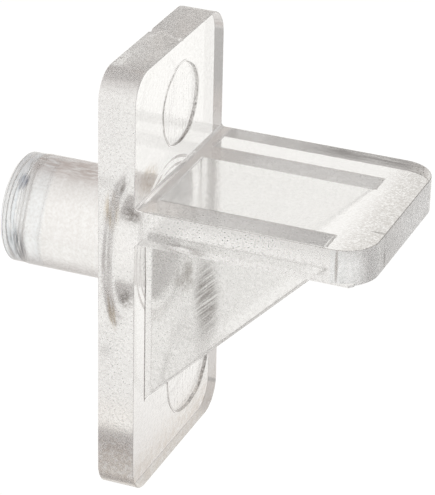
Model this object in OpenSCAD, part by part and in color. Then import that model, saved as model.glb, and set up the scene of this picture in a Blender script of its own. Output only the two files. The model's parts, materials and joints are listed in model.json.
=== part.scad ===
// Shelf support pin: a one-piece moulding in clear plastic.
// The peg pushes into a drilled hole in a cabinet side, the plate lies flat on that side,
// and the shelf rests on the ledge, which two triangular ribs hold up from below.
// The origin is on the peg's axis, at the plate's back face. The peg runs along -X,
// the ledge along +X, and +Z is up.

/* [Peg] */
// Diameter of the peg, which is the drilled hole's nominal size
peg_d = 6.35; // [4:0.05:8]
// Length of the peg, from the plate's back face to its tip
peg_len = 7.4; // [4:0.1:12]
// Length of the slimmer lead-in band at the tip
tip_len = 1.05; // [0.6:0.05:1.6]
// How far the lead-in band lies below the peg's surface
tip_step = 0.03; // [0.01:0.01:0.15]
// Width of the bevel round the tip's end
tip_bevel = 0.15; // [0.05:0.05:0.4]

/* [Relief] */
// Outer diameter of the shallow stepped recess round the peg's root
relief_d = 9; // [8.7:0.1:9.5]
// Diameter of its inner, deeper step
relief_step_d = 8.2; // [7.6:0.1:8.5]
// Depth of each of its two steps
relief_step = 0.15; // [0.05:0.05:0.25]

/* [Plate] */
// Width of the plate and of the ledge, across the cabinet side
plate_w = 12.2; // [9:0.1:20]
// Height of the plate
plate_h = 25.4; // [20:0.1:40]
// Thickness of the plate
plate_t = 2.15; // [1.5:0.05:4]
// Radius of the plate's four corners
plate_r = 1.7; // [0.5:0.1:3]
// Height of the peg's axis above the plate's lower end
peg_up = 13.65; // [12:0.05:16]

/* [Ledge] */
// Reach of the ledge, from the plate's front face to its own front edge
ledge_reach = 13.1; // [11:0.1:24]
// Thickness of the ledge
ledge_t = 2.05; // [1.5:0.05:4]
// Height of the ledge's top face above the peg's axis
ledge_up = 4.3; // [3:0.1:5]
// Radius of the ledge's two front corners
ledge_r = 2; // [0.5:0.1:4]
// Radius of the hollow rounds where the ledge meets the plate
ledge_root = 0.2; // [0.1:0.05:0.4]

/* [Ribs] */
// Thickness of each rib
rib_t = 1.5; // [0.8:0.1:2.5]
// How far each rib's outer face lies in from the side of the plate
rib_inset = 1.5; // [0.5:0.1:2]
// Reach of the ribs along the ledge's underside
rib_reach = 10.25; // [5:0.05:10.9]
// Drop of the ribs down the plate's front face
rib_drop = 10.25; // [5:0.05:11]

/* [Ejector marks] */
// Depth of the round marks that the ejector pins leave in the plate's front face
mark_depth = 0.15; // [0.05:0.05:0.4]
// Diameter of the upper mark
mark_up_d = 4.7; // [2:0.1:5]
// Height of the upper mark's centre above the peg's axis
mark_up = 8.1; // [7.7:0.1:8.8]
// Diameter of the lower mark
mark_down_d = 6; // [2:0.1:6.2]
// Depth of the lower mark's centre below the peg's axis
mark_down = 8.7; // [8:0.1:9]
// How far the lower mark lies off the middle of the plate
mark_down_side = 1.7; // [0:0.1:2]

/* [Hidden] */

$fn = 96;

// What the cuts run past the faces that they open
over = 0.5;
// Levels of the ledge's underside and of the plate's two ends
ledge_low = ledge_up - ledge_t;
plate_low = -peg_up;
plate_top = plate_h - peg_up;
// Half of the width, and the front edge of the ledge
half_w = plate_w / 2;
front_x = plate_t + ledge_reach;
// Depth of the whole relief, which is also the radius of the hollow round at the peg's root
relief_depth = 2 * relief_step;
// Step between the points of a hollow round, in degrees
round_step = 15;

module rounded_sheet(long, wide, thick, r) {
    // A flat sheet, from one corner at the origin, with four round corners
    linear_extrude(thick) {
        translate([r, 0]) square([long - 2 * r, wide]);
        translate([0, r]) square([long, wide - 2 * r]);
        for (x = [r, long - r], y = [r, wide - r])
            translate([x, y]) circle(r);
    }
}

module hollow_round(r) {
    // The corner between the axes +X and +Y, filled up to a hollow quarter circle
    polygon([
        [-r, -r],
        [r, -r],
        for (a = [270:-round_step:180]) r * [1 + cos(a), 1 + sin(a)],
        [-r, r],
    ]);
}

module peg() {
    tip_r = peg_d / 2 - tip_step;
    body_len = peg_len - tip_len;
    rotate([0, -90, 0]) {
        // The body starts inside the plate, so that the two are one solid
        translate([0, 0, -plate_t / 2]) cylinder(d = peg_d, h = body_len + plate_t / 2);
        translate([0, 0, body_len]) {
            cylinder(r = tip_r, h = tip_len - tip_bevel);
            translate([0, 0, tip_len - tip_bevel])
                cylinder(r1 = tip_r, r2 = tip_r - tip_bevel, h = tip_bevel);
        }
        // The hollow round stands on the relief's floor and ends at the plate's back face
        translate([0, 0, -relief_depth])
            rotate_extrude() translate([peg_d / 2, 0]) hollow_round(relief_depth);
    }
}

module relief() {
    // Two steps, cut from the plate's back face
    translate([-over, 0, 0]) rotate([0, 90, 0]) {
        cylinder(d = relief_d, h = over + relief_step);
        cylinder(d = relief_step_d, h = over + relief_depth);
    }
}

module plate() {
    // The sheet is drawn flat, then stood up with its thickness along X
    translate([0, -half_w, plate_low])
        rotate([90, 0, 90])
            rounded_sheet(plate_w, plate_h, plate_t, plate_r);
}

module ledge() {
    // The two round corners at the wall end of the sheet lie inside the plate
    back_x = plate_t / 2;
    translate([0, -half_w, ledge_low])
        linear_extrude(ledge_t) {
            translate([back_x, 0]) square([front_x - ledge_r - back_x, plate_w]);
            translate([back_x, ledge_r]) square([front_x - back_x, plate_w - 2 * ledge_r]);
            for (y = [ledge_r, plate_w - ledge_r])
                translate([front_x - ledge_r, y]) circle(ledge_r);
        }
    translate([plate_t, half_w, ledge_up]) ledge_root_round();
    translate([plate_t, half_w, ledge_low]) mirror([0, 0, 1]) ledge_root_round();
}

module ledge_root_round() {
    // A hollow round across the whole width, above the corner that runs along Y
    rotate([90, 0, 0]) linear_extrude(plate_w) hollow_round(ledge_root);
}

module rib() {
    // A triangle from the ledge's underside to the plate's front face, carried a little
    // way into both, with its outer face on the plane Y = 0 and its thickness along +Y
    root = plate_t / 2;
    slope = rib_drop / rib_reach;
    translate([plate_t, rib_t, ledge_low])
        rotate([90, 0, 0])
            linear_extrude(rib_t)
                polygon([
                    [-root, root],
                    [-root, -rib_drop],
                    [0, -rib_drop],
                    [rib_reach, 0],
                    [rib_reach - root / slope, root],
                ]);
}

module ejector_mark(d, side, height) {
    translate([plate_t - mark_depth, side, height])
        rotate([0, 90, 0])
            cylinder(d = d, h = mark_depth + over);
}

module marked_plate() {
    difference() {
        plate();
        relief();
        ejector_mark(mark_up_d, 0, mark_up);
        ejector_mark(mark_down_d, mark_down_side, -mark_down);
    }
}

module shelf_support() {
    color([0.90, 0.91, 0.90]) {
        marked_plate();
        peg();
        ledge();
        translate([0, -half_w + rib_inset, 0]) rib();
        translate([0, half_w - rib_inset - rib_t, 0]) rib();
    }
}

shelf_support();
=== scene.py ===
import json
import math

import bmesh
import bpy
import numpy as np
from mathutils import Matrix, Vector


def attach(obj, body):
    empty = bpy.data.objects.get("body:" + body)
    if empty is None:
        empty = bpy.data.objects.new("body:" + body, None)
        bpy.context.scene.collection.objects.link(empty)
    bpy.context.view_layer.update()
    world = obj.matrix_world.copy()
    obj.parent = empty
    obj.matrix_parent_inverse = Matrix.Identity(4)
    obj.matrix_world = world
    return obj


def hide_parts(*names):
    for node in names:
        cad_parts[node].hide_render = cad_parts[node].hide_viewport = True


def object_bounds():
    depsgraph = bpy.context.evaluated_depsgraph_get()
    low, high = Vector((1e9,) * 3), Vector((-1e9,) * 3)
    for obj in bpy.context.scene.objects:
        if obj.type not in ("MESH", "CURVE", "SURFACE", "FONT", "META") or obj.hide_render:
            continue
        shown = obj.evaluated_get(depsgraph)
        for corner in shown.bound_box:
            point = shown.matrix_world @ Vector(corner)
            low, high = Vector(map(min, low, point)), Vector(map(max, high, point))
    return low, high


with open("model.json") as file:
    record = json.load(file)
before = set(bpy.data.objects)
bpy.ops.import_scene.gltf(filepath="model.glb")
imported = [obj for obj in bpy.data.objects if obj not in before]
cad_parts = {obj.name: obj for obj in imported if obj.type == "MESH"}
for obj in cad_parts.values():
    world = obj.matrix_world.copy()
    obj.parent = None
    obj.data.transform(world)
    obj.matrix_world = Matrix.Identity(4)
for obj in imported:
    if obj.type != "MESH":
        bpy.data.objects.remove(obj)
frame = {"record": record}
cad_low, cad_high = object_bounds()

# Lengths are in millimetres until the finished mesh is turned to metres.
MM = 0.001

# ---------------------------------------------------------------- sizes from the frame
low = np.array(cad_low) / MM
high = np.array(cad_high) / MM
peg_mount = next(m for m in frame["record"]["mounts"] if m["name"] == "peg")
peg_r = peg_mount["dims"]["r_mm"]
peg_len = -low[0]
tip_len = peg_len - peg_mount["dims"]["length_mm"]
front_x = high[0]
half_w = high[1]
plate_low, plate_top = low[2], high[2]

# ---------------------------------------------------------------- sizes of the sub-parts
plate_t = 2.15
plate_r = 1.7
ledge_up = 4.3
ledge_t = 2.05
ledge_r = 2.0
ledge_low = ledge_up - ledge_t
rib_t = 1.5
rib_inset = 1.5
rib_reach = 10.25
rib_drop = 10.25
relief_r = 4.5
relief_step_r = 4.1
relief_step = 0.15
# Share of a step's depth by which its wall leans to each side
relief_lean = 0.4
mark_depth = 0.15
# Radius, side and height of each ejector mark
marks = [(2.35, 0, 8.1), (3.0, 1.7, -8.7)]
# The waves in a mark's uneven outline: count, start and share of the radius
mark_waves = [(2, 1, 0.02), (5, 0, 0.012), (11, 0, 0.006)]
# Width and height of the thin raised flash that stands round each mark
flash_width = 0.09
flash_height = 0.05
tip_step = 0.03
tip_bevel = 0.15
# Fine turned grooves round the tip band: distances from the end, width and depth
tip_rings = [0.95]
ring_width = 0.1
ring_depth = 0.035
# Turned rings in the peg's end face: their radii, width and depth
end_rings = [2.6, 1.7, 0.8]
end_ring_width = 0.28
end_ring_depth = 0.04
# Small chips in the plate's top edges: ends along X, place and width along Y, and depth
chips = [(-1, 0.45, 0.75, 0.6, 0.16), (1.95, 3, 0.15, 0.4, 0.12)]
# How far off its middle a chip is deepest, as a share of its width
chip_lean = 0.15
# The sliver of flash below the ledge's near corner: its thickness, and its outline, past the
# start of the corner along X and in from the near side along Y
sliver_t = 0.14
sliver_outline = [(-0.1, 0.4), (-0.1, 0), (1.02, 0), (1.1, 0.12), (1.22, 0.2), (1.3, 0.7)]
# How far a cut runs past the face that it opens
over = 1.0
# The mould's edges are not knife sharp: every outer edge has a round of this radius
edge_round = 0.05
# Radius of the hollow rounds that run along Y, where the ledge meets the plate
root_round = 0.2
# Radius of the hollow rounds where the ribs' sides meet the ledge and the plate
rib_round = 0.07
edge_steps = 3
# Facets of a whole turn of the peg and of a mark, and of a quarter turn of a corner and of
# the hollow round at the peg's root
turn_steps = 160
mark_steps = 96
corner_steps = 16
hollow_steps = 6
# Two faces that meet at more than the first angle have an edge, and at less than the second
# they are one flat face
edge_angle = math.radians(25)
flat_angle = math.radians(0.3)
# Points closer than the first distance are one point, and places closer than the second lie
# on the same level
same_point = 0.0001
same_level = 0.01


# ---------------------------------------------------------------- shapes
def mesh_object(name, points, faces):
    """An object whose mesh has the given points and faces."""
    mesh = bpy.data.meshes.new(name)
    mesh.from_pydata(points.tolist(), [], faces)
    thing = bpy.data.objects.new(name, mesh)
    bpy.context.scene.collection.objects.link(thing)
    return thing


def carried(name, outline, along, start, end):
    """A closed outline carried straight along one axis.

    Each point keeps the outline's two coordinates; the third is start on the first
    ring and end on the second. The two rings are the flat ends, and quads join them.
    """
    count = len(outline)
    third = np.repeat([start, end], count)
    rings = np.insert(np.tile(outline, (2, 1)), along, third, axis=1)
    here = np.arange(count)
    after = np.roll(here, -1)
    sides = np.stack([here, after, after + count, here + count], axis=1).tolist()
    ends = [here[::-1].tolist(), (here + count).tolist()]
    return mesh_object(name, rings, sides + ends)


def turned(name, profile, steps):
    """A profile of (x, r) pairs turned round the X axis.

    The point at profile step i and turn j is (x_i, r_i cos a_j, r_i sin a_j), with the
    angle a_j going once round. The first and the last ring are the flat ends.
    """
    x, r = np.array(profile).T
    angle = np.arange(steps) * 2 * math.pi / steps
    across, up = r[:, None] * np.cos(angle), r[:, None] * np.sin(angle)
    points = np.stack(np.broadcast_arrays(x[:, None], across, up), axis=2).reshape(-1, 3)
    ring, turn = np.meshgrid(np.arange(len(x) - 1), np.arange(steps), indexing="ij")
    here, after = ring * steps + turn, ring * steps + (turn + 1) % steps
    quads = np.stack([here, here + steps, after + steps, after], axis=2).reshape(-1, 4)
    last = (len(x) - 1) * steps
    ends = [np.arange(steps).tolist(), (last + np.arange(steps))[::-1].tolist()]
    return mesh_object(name, points, quads.tolist() + ends)


def arc(centre, radius, first, last, steps=corner_steps):
    """Points on a circle: centre + radius (cos a, sin a), a going from first to last degrees."""
    angle = np.radians(np.linspace(first, last, steps + 1))
    return np.array(centre) + radius * np.stack([np.cos(angle), np.sin(angle)], axis=1)


def combine(body, others, operation):
    """Adds each of the others to the body, or cuts it from the body, and deletes it."""
    for other in others:
        step = body.modifiers.new("step", "BOOLEAN")
        step.operation = operation
        step.solver = "EXACT"
        step.object = other
    bake(body)
    for other in others:
        bpy.data.objects.remove(other)


def bake(thing):
    """Turns the object's modifiers into its mesh."""
    view = bpy.context.evaluated_depsgraph_get()
    mesh = bpy.data.meshes.new_from_object(thing.evaluated_get(view))
    thing.modifiers.clear()
    thing.data = mesh


def peg_shape():
    """The peg: a hollow round at its root, a straight body, a slimmer tip band, a bevelled end."""
    slim = peg_r - tip_step
    band = -peg_len + tip_len
    floor = 2 * relief_step
    return turned("peg", [
        (plate_t / 2, peg_r + floor),
        *arc((0, peg_r + floor), floor, 0, -90, hollow_steps),
        (band, peg_r),
        (band - tip_step, slim),
        *[
            (-peg_len + up + shift, slim - down)
            for up in tip_rings
            for shift, down in ((ring_width / 2, 0), (0, ring_depth), (-ring_width / 2, 0))
        ],
        (-peg_len + tip_bevel, slim),
        (-peg_len, slim - tip_bevel),
        *[
            (-peg_len + deep, ring - aside)
            for ring in end_rings
            for aside, deep in (
                (-end_ring_width / 2, 0),
                (0, end_ring_depth),
                (end_ring_width / 2, 0),
            )
        ],
    ], turn_steps)


def plate_shape():
    """The plate: a rectangle with four round corners, carried through its thickness."""
    left, right = -half_w + plate_r, half_w - plate_r
    bottom, top = plate_low + plate_r, plate_top - plate_r
    outline = np.concatenate([
        arc((right, bottom), plate_r, -90, 0),
        arc((right, top), plate_r, 0, 90),
        arc((left, top), plate_r, 90, 180),
        arc((left, bottom), plate_r, 180, 270),
    ])
    return carried("plate", outline, 0, 0, plate_t)


def ledge_shape():
    """The ledge: square at the wall end, inside the plate, with two round front corners."""
    back, corner = plate_t / 2, front_x - ledge_r
    side = half_w - ledge_r
    outline = np.concatenate([
        [(back, -half_w)],
        arc((corner, -side), ledge_r, -90, 0),
        arc((corner, side), ledge_r, 0, 90),
        [(back, half_w)],
    ])
    return carried("ledge", outline, 2, ledge_low, ledge_up)


def sliver_shape():
    """The sliver of flash: it carries the near side's lower edge straight on, past the corner."""
    outline = np.array((front_x - ledge_r, -half_w)) + sliver_outline
    return carried("sliver", outline, 2, ledge_low, ledge_low + sliver_t)


def rib_shape(outer, inner):
    """A rib: a triangle below the ledge, carried a little way into the ledge and the plate."""
    root = plate_t / 2
    slope = rib_drop / rib_reach
    outline = np.array([
        (plate_t - root, ledge_low + root),
        (plate_t - root, ledge_low - rib_drop),
        (plate_t, ledge_low - rib_drop),
        (plate_t + rib_reach, ledge_low),
        (plate_t + rib_reach - root / slope, ledge_low + root),
    ])
    return carried("rib", outline, 1, outer, inner)


def mark_shape(radius, side, height, wider=0.0, top=over):
    """The space that an ejector pin's end leaves in the plate's front face.

    Its outline is not quite round: at angle a, the radius is the mark's own, times 1 plus the
    sum of share sin(count a + start) over the waves. Made wider, and cut off at a low top, it
    is the flash that stands round the mark.
    """
    angle = np.arange(mark_steps) * 2 * math.pi / mark_steps
    lumps = sum((share * np.sin(count * angle + start) for count, start, share in mark_waves), 1)
    way = np.stack([np.cos(angle), np.sin(angle)], axis=1)
    outline = np.array((side, height)) + (radius * lumps[:, None] + wider) * way
    return carried("mark", outline, 0, plate_t - mark_depth, plate_t + top)


def chip_shape(start, end, side, width, depth):
    """The space of a chip: a lopsided notch in the plate's top face, open at one edge."""
    outline = np.array([
        (side - width / 2, plate_top),
        (side + chip_lean * width, plate_top - depth),
        (side + width / 2, plate_top),
        (side, plate_top + over / 2),
    ])
    return carried("chip", outline, 0, start, end)


def relief_shape():
    """The space of the two shallow steps round the peg's root, with walls that slope."""
    half = relief_lean * relief_step
    return turned("relief", [
        (2 * relief_step, relief_step_r - half),
        (relief_step, relief_step_r + half),
        (relief_step, relief_r - half),
        (0, relief_r + half),
        (-over, relief_r + half + over),
    ], turn_steps)


def clear_support():
    """The whole moulding, with its edges rounded, turned to metres."""
    piece = plate_shape()
    piece.name = "clear_support"
    outer, inner = half_w - rib_inset, half_w - rib_inset - rib_t
    combine(piece, [mark_shape(*mark, flash_width, flash_height) for mark in marks], "UNION")
    combine(piece, [
        relief_shape(),
        *(mark_shape(*mark) for mark in marks),
        *(chip_shape(*chip) for chip in chips),
    ], "DIFFERENCE")
    combine(piece, [
        ledge_shape(),
        sliver_shape(),
        rib_shape(-outer, -inner),
        rib_shape(inner, outer),
        peg_shape(),
    ], "UNION")
    merge_flats(piece.data)
    piece.data.shade_smooth()
    weigh_edges(piece.data)
    rounds = piece.modifiers.new("edges", "BEVEL")
    rounds.width = root_round
    rounds.segments = edge_steps
    rounds.limit_method = "WEIGHT"
    rounds.harden_normals = True
    rounds.use_clamp_overlap = False
    rounds.miter_outer = "MITER_ARC"
    weld = piece.modifiers.new("weld", "WELD")
    weld.merge_threshold = same_point
    bake(piece)
    piece.data.transform(Matrix.Scale(MM, 4))
    return piece


def merge_flats(mesh):
    """Merges doubled points, and turns the pieces of one flat face into one face."""
    shape = bmesh.new()
    shape.from_mesh(mesh)
    bmesh.ops.remove_doubles(shape, verts=shape.verts, dist=same_point)
    bmesh.ops.dissolve_limit(
        shape, angle_limit=flat_angle, verts=shape.verts, edges=shape.edges
    )
    shape.to_mesh(mesh)
    shape.free()


def on_peg(place):
    """Whether a place lies on the peg, clear of the plate's back face."""
    clear = 0.5
    return place.x <= -clear


def on_chip(place):
    """Whether a place lies in one of the chips in the plate's top edges."""
    deepest, margin = 0.3, 0.05
    return place.z > plate_top - deepest and any(
        start - margin < place.x < end + margin and abs(place.y - side) < width
        for start, end, side, width, depth in chips
    )


def on_flash(place):
    """Whether a place lies on the flash that stands round one of the ejector marks."""
    widest = 1.06
    return place.x > plate_t - same_level and any(
        math.hypot(place.y - side, place.z - height) < widest * radius + flash_width
        for radius, side, height in marks
    )


def on_sliver(place):
    """Whether a place lies on the sliver of flash below the ledge's near corner."""
    before, inwards = 0.12, 0.8
    return (
        place.x > front_x - ledge_r - before
        and place.y < -half_w + inwards
        and place.z < ledge_low + sliver_t + same_level
    )


def weigh_edges(mesh):
    """Marks the edges to round: those where two faces meet at more than the edge angle.

    The peg's own rings, the chips, the flash and the sliver are only marked as sharp: the
    rings' profile already has their form, and the others are sharp.
    """
    mostly = 0.9
    shape = bmesh.new()
    shape.from_mesh(mesh)
    layer = shape.edges.layers.float.new("bevel_weight_edge")
    for edge in shape.edges:
        if edge.calc_face_angle(0.0) <= edge_angle:
            continue
        first, second = (corner.co for corner in edge.verts)
        middle = (first + second) / 2
        if on_peg(middle) or on_chip(middle) or on_flash(middle) or on_sliver(middle):
            edge.smooth = False
            continue
        edge[layer] = edge_round / root_round
        at_plate = abs(middle.x - plate_t) < same_level
        at_ledge = abs(middle.z - ledge_low) < same_level and middle.x > plate_t
        if (at_plate or at_ledge) and not edge.is_convex:
            way = second - first
            along_y = abs(way.y) > mostly * way.length
            edge[layer] = 1.0 if along_y else rib_round / root_round
    shape.to_mesh(mesh)
    shape.free()


# ---------------------------------------------------------------- materials
# Clear styrene's refractive index
styrene_ior = 1.59
# Sizes of the patterns: fine grain, blotches of the warm lower tint, streaks in a colour patch,
# and pits
grain_width = 0.16
blotch_width = 0.4
streak_width = 0.22
pit_width = 0.35
# The warm tint, strongest at the plate's lower end: its colour, and the levels where it is full
# and gone
lower_tint_colour = "#E0D7CD"
lower_tint_full = plate_low + 0.2
lower_tint_gone = plate_low + 3.0
# The toolmaker's scrape marks: their width, the width of their patches and their slope
scrape_width = 0.14
scrape_patch = 3.0
scrape_slope = 45
# Width of the upright flow lines
flow_width = 0.25


def linear(code):
    """An sRGB hex colour as linear red, green and blue."""
    value = np.array([int(code[i:i + 2], 16) for i in (1, 3, 5)]) / 255
    return tuple(np.where(value <= 0.04045, value / 12.92, ((value + 0.055) / 1.055) ** 2.4))


def add(tree, kind, settings=None, links=None):
    """Adds one node; settings and links are given by socket, and links are (node, socket)."""
    node = tree.nodes.new(kind)
    for name, value in (settings or {}).items():
        if isinstance(name, str) and hasattr(node, name):
            setattr(node, name, value)
        else:
            node.inputs[name].default_value = value
    for name, (other, socket) in (links or {}).items():
        tree.links.new(other.outputs[socket], node.inputs[name])
    return node


def new_material(name):
    """A material with an empty node tree."""
    material = bpy.data.materials.new(name)
    material.use_nodes = True
    material.node_tree.nodes.clear()
    return material


def pattern(tree, place, size, turn=(0, 0, 0), stretch=(1, 1, 1)):
    """Cloudy noise whose patches are about size millimetres wide, longer where stretch is small.

    The turn is in radians.
    """
    turned_place = add(tree, "ShaderNodeMapping", {"Rotation": turn}, {"Vector": place})
    scaled = add(tree, "ShaderNodeMapping", {"Scale": stretch}, {"Vector": (turned_place, 0)})
    return add(tree, "ShaderNodeTexNoise", {
        "Scale": 1 / (size * MM), "Detail": 2.0, "Roughness": 0.6,
    }, {"Vector": (scaled, 0)}), "Fac"


def ramp(tree, value, start, end, low=0.0, high=1.0):
    """The value carried smoothly from low at start to high at end."""
    return add(tree, "ShaderNodeMapRange", {
        "From Min": start, "From Max": end, "To Min": low, "To Max": high,
        "interpolation_type": "SMOOTHSTEP",
    }, {"Value": value}), 0


def put_together(tree, first, second, operation="ADD"):
    """Two values put together by one operation, which is a sum where none is named."""
    return add(tree, "ShaderNodeMath", {"operation": operation}, {0: first, 1: second}), 0


def blend_colours(tree, share, first, second):
    """A colour that goes from the first to the second as share goes from 0 to 1."""
    settings, links = {"data_type": "RGBA"}, {"Factor": share}
    for socket, colour in ((6, first), (7, second)):
        if isinstance(colour, str):
            settings[socket] = (*linear(colour), 1)
        else:
            links[socket] = colour
    return add(tree, "ShaderNodeMix", settings, links), 2


def inside_patch(tree, place, centre, half, turn):
    """How far a place lies inside a soft oval patch: 1 in its middle third, 0 at its rim."""
    own = add(tree, "ShaderNodeMapping", {
        "vector_type": "TEXTURE",
        "Location": tuple(MM * value for value in centre),
        "Rotation": tuple(math.radians(value) for value in turn),
        "Scale": tuple(MM * value for value in half),
    }, {"Vector": place})
    away = add(tree, "ShaderNodeVectorMath", {"operation": "LENGTH"}, {0: (own, 0)})
    return ramp(tree, (away, "Value"), 0.35, 1.0, 1.0, 0.0)


def clear_styrene(name, roughness, clean="#FFFFFF", hazy="#F4F4F3", depth=0.004,
                  colour_patches=(), lines=()):
    """Clear styrene, injection moulded.

    It gives the eye sharp refraction, a mottled haze of fine pits on every face, and a faint
    warm tint in blotches, strongest at the plate's lower end. The pits are finer than the render
    shows, so they are drawn coarser. The walls are too thin for the plastic's own colour to show
    in its depth, so every tint lies on a face, as does the painted shade and painted reflection in
    most of the colour patches. The noise lies mostly between 0.3 and 0.7, which is where the ramps
    on it start and end, and the roughness goes from 0.7 to 1.5 times its value with the grain. The
    colour is clean between the pits and hazy in them, depth is the relief of the pits and of the
    lines, and the colour patches are rows of the tables below.
    """
    material = new_material(name)
    tree = material.node_tree
    spot = add(tree, "ShaderNodeTexCoord")
    place = (spot, "Object")
    split = add(tree, "ShaderNodeSeparateXYZ", links={0: place})
    grain = pattern(tree, place, grain_width)
    colour = blend_colours(tree, ramp(tree, grain, 0.3, 0.72), clean, hazy)
    blotches = ramp(tree, pattern(tree, place, blotch_width), 0.25, 0.7)
    # A warm tint in blotches, full at the plate's lower end and gone 3 mm above it
    lower_end = ramp(tree, (split, "Z"), lower_tint_full * MM, lower_tint_gone * MM, 1.0, 0.0)
    lower_tint = put_together(tree, lower_end, blotches, "MULTIPLY")
    colour = blend_colours(tree, lower_tint, colour, lower_tint_colour)
    # Each patch blends its colour in, in streaks: most are painted shade and painted reflections,
    # a few are marks such as witness lines
    for tint, centre, half, turn, streak_turn, stretch in colour_patches:
        across = tuple(math.radians(-value) for value in streak_turn)
        streaks = ramp(tree, pattern(tree, place, streak_width, across, stretch), 0.3, 0.6)
        inside = inside_patch(tree, place, centre, half, turn)
        share = put_together(tree, inside, streaks, "MULTIPLY")
        colour = blend_colours(tree, share, colour, tint)
    rough = ramp(tree, grain, 0.3, 0.75, 0.7 * roughness, 1.5 * roughness)
    height = pattern(tree, place, pit_width)
    for line in lines:
        height = put_together(tree, height, line(tree, place))
    relief = add(tree, "ShaderNodeBump", {
        "Strength": 1.0, "Distance": depth * MM,
    }, {"Height": height})
    plastic = add(tree, "ShaderNodeBsdfPrincipled", {
        "IOR": styrene_ior, "Transmission Weight": 1.0,
    }, {"Base Color": colour, "Roughness": rough, "Normal": (relief, 0)})
    add(tree, "ShaderNodeOutputMaterial", links={"Surface": (plastic, "BSDF")})
    return material


def scrapes(tree, place):
    """Scrape marks of the mould maker's tool, parallel to the ribs' sloping edge, in patches."""
    turn = (0, math.radians(scrape_slope), 0)
    marks_along = pattern(tree, place, scrape_width, turn, (0.06, 1, 1))
    patches = ramp(tree, pattern(tree, place, scrape_patch), 0.45, 0.62)
    return put_together(tree, marks_along, patches, "MULTIPLY")


def flow_lines(tree, place):
    """Fine upright flow lines."""
    return pattern(tree, place, flow_width, stretch=(1, 1, 0.05))


# Each row of these tables is one patch of colour on a face: its colour, its centre, its half size,
# its turn, the turn of the streaks in it, and how much each axis of the streaks is squeezed.
# Most patches are painted shade and painted reflections, as each table says.
# A value far below 1 draws the streaks out along that axis. Lengths are in millimetres and
# turns in degrees.
#
# The near side of the plate and of the ledge: painted warm reflections in streaks and painted
# grey shade beside the ledge's root, above and below it, a warm tint on the plate's lower end,
# and painted shade along the ledge's lower edge
side_painted_light_and_tint = [
    ("#CFC0AA", (0.8, -6.1, 4.0), (0.6, 0.6, 1.5), (0, 0, 0), (0, 0, 0), (1.5, 1, 0.12)),
    ("#8E8A87", (1.95, -6.1, 3.95), (0.75, 0.6, 0.65), (0, 0, 0), (0, 0, 0), (1, 1, 1)),
    ("#8E8A87", (1.45, -6.1, 5.6), (0.22, 0.6, 0.75), (0, 12, 0), (0, 12, 0), (1, 1, 0.3)),
    ("#B3A795", (0.82, -6.1, -2.1), (0.32, 0.6, 1.5), (0, -10, 0), (0, -10, 0), (1.5, 1, 0.15)),
    ("#9C9894", (1.7, -6.1, -1.2), (0.6, 0.6, 0.75), (0, 0, 0), (0, 0, 0), (1, 1, 1)),
    ("#CBC2BA", (1.0, -6.1, -11.8), (2.4, 0.6, 2.8), (0, 0, 0), (0, 0, 0), (1, 1, 1)),
    ("#A09C9A", (5.0, -6.1, 2.5), (1.8, 0.6, 0.45), (0, 0, 0), (0, 0, 0), (0.15, 1, 1)),
]
# Upright witness lines at both ends of the ledge's near corner
witness_lines = [
    ("#9A9693", (13.58, -6.1, 3.4), (0.13, 0.6, 1.6), (0, 0, 0), (0, 0, 0), (1, 1, 0.05)),
    ("#6A6663", (15.25, -3.2, 3.3), (0.6, 0.2, 1.8), (0, 0, 0), (0, 0, 0), (0.1, 0.1, 0.1)),
]
# The flats: painted warm shade on the front face above the ledge's root, painted grey shade over
# the ledge's front zone, a short dark line at its near corner, and painted shade in a strip along
# its far side
flat_shade_and_line = [
    ("#CDC0B0", (2.15, -4.3, 5.3), (0.5, 1.6, 1.2), (0, 0, 0), (0, 0, 0), (1, 1, 1)),
    ("#BAB6B2", (15.3, 0, 4.3), (2.9, 30, 3), (0, 0, 0), (0, 0, 0), (2, 2, 1)),
    ("#5A5653", (14.9, -3.2, 4.3), (0.6, 0.15, 0.6), (0, 0, 0), (0, 0, 0), (0.1, 0.1, 0.1)),
    ("#8F8B89", (11.2, 5.5, 4.3), (4.8, 0.75, 0.6), (0, 0, 0), (0, 0, 0), (0.1, 1, 1)),
]
# The near rib's outer face: an upright patch of darker slanting streaks, and a smoother one
rib_streak_patches = [
    ("#8A8683", (5.75, -4.6, -0.9), (0.95, 0.5, 3.0), (0, 0, 0), (0, -45, 0), (0.1, 1, 2.2)),
    ("#A5A19D", (4.5, -4.6, 0.1), (0.8, 0.5, 1.5), (0, 20, 0), (0, 20, 0), (0.5, 1, 0.2)),
]
# The peg: painted shade, a warm darker strip along its top
peg_painted_shade = [
    ("#BAA9A2", (-3.0, 0.5, 3.2), (8, 2.6, 1.3), (0, 0, 0), (0, 0, 0), (0.3, 1, 1)),
]
# The tip band: two patches of painted shade in dark ring-wise lines
tip_painted_shade = [
    ("#3C4660", (-6.5, -1.9, 2.5), (0.5, 0.8, 0.7), (0, 0, 0), (0, 0, 0), (1.8, 0.12, 0.12)),
    ("#5C6268", (-6.45, -3.1, -1.1), (0.75, 1.5, 2.0), (0, 0, 0), (0, 0, 0), (1.8, 0.1, 0.1)),
]
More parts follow.
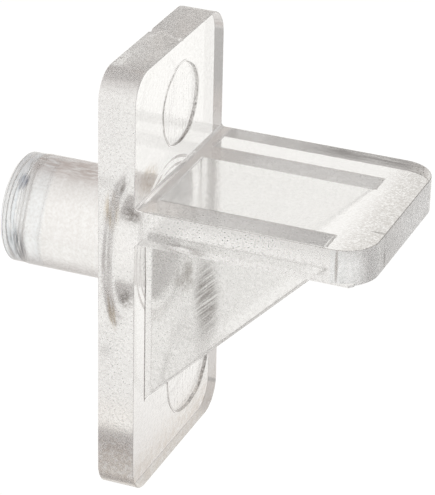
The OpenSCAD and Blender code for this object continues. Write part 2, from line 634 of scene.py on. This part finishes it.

# The finish that each wall of the mould leaves, and what it gives the eye, with the painted shade
# and painted reflections that some of them carry. The flats come from polished walls, and the
# narrow rims and the ribs from eroded ones.
finishes = {
    # The flats: clear and glossy, with hardly any haze, and with patches of painted shade
    "polished_clear": {"roughness": 0.08, "colour_patches": flat_shade_and_line},
    # The plate's two ends and the ledge's far corner: a coarse grey grain
    "matt_rim": {"roughness": 0.2, "hazy": "#CCCAC8", "depth": 0.016},
    # The far side of the plate and of the ledge: a slightly dull gloss
    "dull_rim": {"roughness": 0.12, "clean": "#F8F8F8", "hazy": "#E2E1E0"},
    # The near rib's outer face: a light frost with scrape marks in it
    "eroded_rib": {"roughness": 0.22, "depth": 0.006, "colour_patches": rib_streak_patches, "lines": [scrapes]},
    # The peg's side: a light frost, smooth where it was drawn from the mould, with painted shade
    # along its top and in the tip band's dark lines
    "drawn_peg": {"roughness": 0.16, "hazy": "#EEECEA", "colour_patches": peg_painted_shade + tip_painted_shade},
    # The near side of the plate and of the ledge: a pale grainy frost with painted shade, painted
    # warm reflections and a warm tint
    "eroded_side": {"roughness": 0.22, "hazy": "#E8E7E6", "colour_patches": side_painted_light_and_tint},
    # The floors of the ejector marks: glossy, with fine upright lines
    "flow_marked": {"roughness": 0.08, "depth": 0.016, "lines": [flow_lines]},
    # The walls of the ejector marks: painted shade, a thin dark outline
    "shaded_mark_wall": {"roughness": 0.15, "clean": "#D0CECC", "hazy": "#5C5A58"},
    # The peg's end face: glossy, and faintly blue
    "cut_end": {"roughness": 0.06, "hazy": "#E9EEF2"},
    # The rounds of the ribs' edges and of the ledge's top front edge, and the outside of the
    # lower mark's flash: thin grey lines of painted shade
    "shaded_edge_line": {"roughness": 0.15, "clean": "#B4B1AE", "hazy": "#7A7774"},
    # The slimmer tip band: glossy, and faintly blue, with painted shade in dark ring-wise lines
    "polished_tip": {
        "roughness": 0.05, "clean": "#FBFDFF", "hazy": "#DFE6EB", "colour_patches": tip_painted_shade,
    },
    # The other sides of the ribs: a light even frost
    "drawn_rib": {"roughness": 0.2},
    # The ledge's near corner: a strong frost with upright lines
    "ground_corner": {
        "roughness": 0.3, "clean": "#FBFDFF", "hazy": "#E8ECEE", "depth": 0.014,
        "colour_patches": witness_lines, "lines": [flow_lines],
    },
    # The ledge's front face: a grainy grey frost
    "frosted_front": {
        "roughness": 0.2, "clean": "#FBFDFF", "hazy": "#D2D4D6", "depth": 0.01,
        "colour_patches": witness_lines,
    },
}


def finish_faces(piece):
    """Gives each face the finish of the mould wall that made it.

    x, y and z are the face's middle. nx, ny and nz are the sizes of its normal's parts along
    the axes, so near 1 the face looks along that axis and near 0 it lies along it, and side is
    the part along Y with its sign, which is negative on the near side. Where the places of two
    finishes overlap, the later one holds.
    """
    mesh = piece.data
    count = len(mesh.polygons)
    centre = np.empty(count * 3)
    normal = np.empty(count * 3)
    mesh.polygons.foreach_get("center", centre)
    mesh.polygons.foreach_get("normal", normal)
    x, y, z = centre.reshape(-1, 3).T / MM
    side = normal.reshape(-1, 3)[:, 1]
    nx, ny, nz = np.abs(normal.reshape(-1, 3).T)
    plate_end = (nx < 0.5) & ((z < plate_low + plate_r) | (z > plate_top - plate_r))
    ledge_edge = (nz < 0.5) & (x > front_x - ledge_r)
    rim = plate_end | ledge_edge | (np.abs(y) > half_w - same_level)
    near_side = side < -0.02
    mark_x = plate_t - mark_depth
    ribs = (x > plate_t) & (z < ledge_low)
    rib_side = ribs & (ny > 0.9)
    ledge_front = (x > front_x - edge_round) & (z > ledge_up - edge_round)
    places = [
        ("drawn_rib", rib_side),
        ("eroded_rib", rib_side & (y < rib_inset - half_w + 0.02)),
        ("matt_rim", rim),
        ("dull_rim", rim & (side > 0.5)),
        ("drawn_peg", x < -same_level),
        ("eroded_side", rim & near_side),
        ("flow_marked", (nx > 0.99) & (np.abs(x - mark_x) < same_level)),
        ("shaded_mark_wall", (nx < 0.5) & (x > mark_x) & (x < plate_t) & ~rim),
        ("cut_end", (x < tip_bevel - peg_len) & (nx > 0.9)),
        ("polished_tip", (x < tip_len - peg_len) & (nx < 0.9)),
        ("ground_corner", ledge_edge & near_side & (ny < 0.999)),
        ("frosted_front", ledge_edge & (nx > 0.9999)),
        ("shaded_edge_line", ribs & (ny > 0.1) & (ny < 0.9)),
        ("shaded_edge_line", ledge_front & (nz < 0.95)),
    ]
    mesh.materials.clear()
    for name, settings in finishes.items():
        mesh.materials.append(clear_styrene(name + "_styrene", **settings))
    order = list(finishes)
    finish = np.full(count, order.index("polished_clear"), dtype=np.int32)
    for name, where in places:
        finish[where] = order.index(name)
    mesh.polygons.foreach_set("material_index", finish)


# ---------------------------------------------------------------- camera
# Where the camera stands and where it looks, its roll in degrees, its lens and its sensor
camera_place = (54.28, -124.20, 66.69)
camera_aim = (4.19, 0.75, -0.59)
camera_roll = 1.262
lens = 196.37
sensor_width = 36


def make_camera():
    """The camera: about 27 degrees above the ledge, from the front and the near side."""
    place = Vector(camera_place) * MM
    aim = Vector(camera_aim) * MM
    roll = math.radians(camera_roll)
    camera = bpy.data.cameras.new("camera")
    camera.sensor_width = sensor_width
    camera.lens = lens
    camera.clip_start = 0.005
    camera.clip_end = 10
    holder = bpy.data.objects.new("camera", camera)
    holder.rotation_mode = "QUATERNION"
    holder.location = place
    turn = (aim - place).to_track_quat("-Z", "Y")
    holder.rotation_quaternion = turn @ Matrix.Rotation(roll, 3, "Z").to_quaternion()
    bpy.context.scene.collection.objects.link(holder)
    bpy.context.scene.camera = holder


# ---------------------------------------------------------------- studio
# The room's colours, on the camera's side and beyond the part
room_near = "#C3BEBB"
room_far = "#FEFDFA"
white = "#FFFFFF"
# From here on lengths are in metres: the floor's level and half of its width
floor_z = -0.030
floor_half = 1.5
# The floor takes a shadow with its paper and glows with the room's colour
paper_grey = "#898989"
floor_glow = 0.8


def room_tint(tree, along, start, end):
    """The room's colour along one coordinate: warm grey by the camera, pale white beyond."""
    return blend_colours(tree, ramp(tree, along, start, end), room_near, room_far)


def white_to_camera(tree, room):
    """White where the camera looks past the part, and the room's colour in the part itself."""
    ray = add(tree, "ShaderNodeLightPath")
    return blend_colours(tree, (ray, "Is Camera Ray"), room, white)


def make_world():
    """A plain studio room, whose pale far wall turns grey towards the top."""
    world = bpy.data.worlds.new("studio")
    bpy.context.scene.world = world
    world.use_nodes = True
    tree = world.node_tree
    tree.nodes.clear()
    way = add(tree, "ShaderNodeTexCoord")
    split = add(tree, "ShaderNodeSeparateXYZ", links={0: (way, "Generated")})
    lift = ramp(tree, (split, "Z"), 0.0, 0.5, 0.0, 0.35)
    along = put_together(tree, (split, "Y"), lift, "SUBTRACT")
    seen = white_to_camera(tree, room_tint(tree, along, 0.1, 0.72))
    glow = add(tree, "ShaderNodeBackground", {"Strength": 1.0}, {"Color": seen})
    add(tree, "ShaderNodeOutputWorld", links={"Surface": (glow, 0)})


def make_floor():
    """A wide pale floor: paper that takes a soft shadow, under a glow that is white to the camera;
    in the part's reflections and refractions the glow is painted grey, darker towards the camera.
    """
    corners = np.array([(-1, -1), (1, -1), (1, 1), (-1, 1)]) * floor_half
    floor = mesh_object("floor", np.insert(corners, 2, floor_z, axis=1), [[0, 1, 2, 3]])
    material = new_material("pale_paper")
    tree = material.node_tree
    place = add(tree, "ShaderNodeTexCoord")
    split = add(tree, "ShaderNodeSeparateXYZ", links={0: (place, "Object")})
    room = room_tint(tree, (split, "Y"), 0.0, 0.05)
    # Painted shade in the part's reflections and refractions: the glow dims to 0.3 of the room's
    # colour from 38 to 60 mm towards the camera
    fall = ramp(tree, (split, "Y"), -0.06, -0.038, 0.3, 1.0)
    dimmed = add(tree, "ShaderNodeMix", {
        "data_type": "RGBA", "blend_type": "MULTIPLY", "Factor": 1.0,
    }, {6: room, 7: fall})
    seen = white_to_camera(tree, (dimmed, 2))
    paper = add(tree, "ShaderNodeBsdfDiffuse", {"Color": (*linear(paper_grey), 1)})
    glow = add(tree, "ShaderNodeEmission", {"Strength": floor_glow}, {"Color": seen})
    both = add(tree, "ShaderNodeAddShader", links={0: (paper, 0), 1: (glow, 0)})
    add(tree, "ShaderNodeOutputMaterial", links={"Surface": (both, 0)})
    floor.data.materials.append(material)


def make_lamp():
    """One wide soft box overhead, a little beyond the part, for a faint shadow on the floor."""
    lamp = bpy.data.lights.new("soft_box", "AREA")
    lamp.shape = "SQUARE"
    lamp.size = 0.3
    lamp.energy = 1.0
    holder = bpy.data.objects.new("soft_box", lamp)
    holder.location = (0.05, 0.15, 0.45)
    holder.rotation_mode = "QUATERNION"
    holder.rotation_quaternion = (-holder.location).to_track_quat("-Z", "Y")
    holder.visible_transmission = False
    bpy.context.scene.collection.objects.link(holder)


bpy.context.scene.view_settings.view_transform = "Standard"
# Light goes through and off many walls of the clear plastic before it gets out
light_bounces = 48
bpy.context.scene.cycles.max_bounces = light_bounces
bpy.context.scene.cycles.transmission_bounces = light_bounces
bpy.context.scene.cycles.glossy_bounces = light_bounces

make_camera()
make_world()
make_floor()
make_lamp()
support = clear_support()
finish_faces(support)
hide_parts("shelf_support")
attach(support, "root")
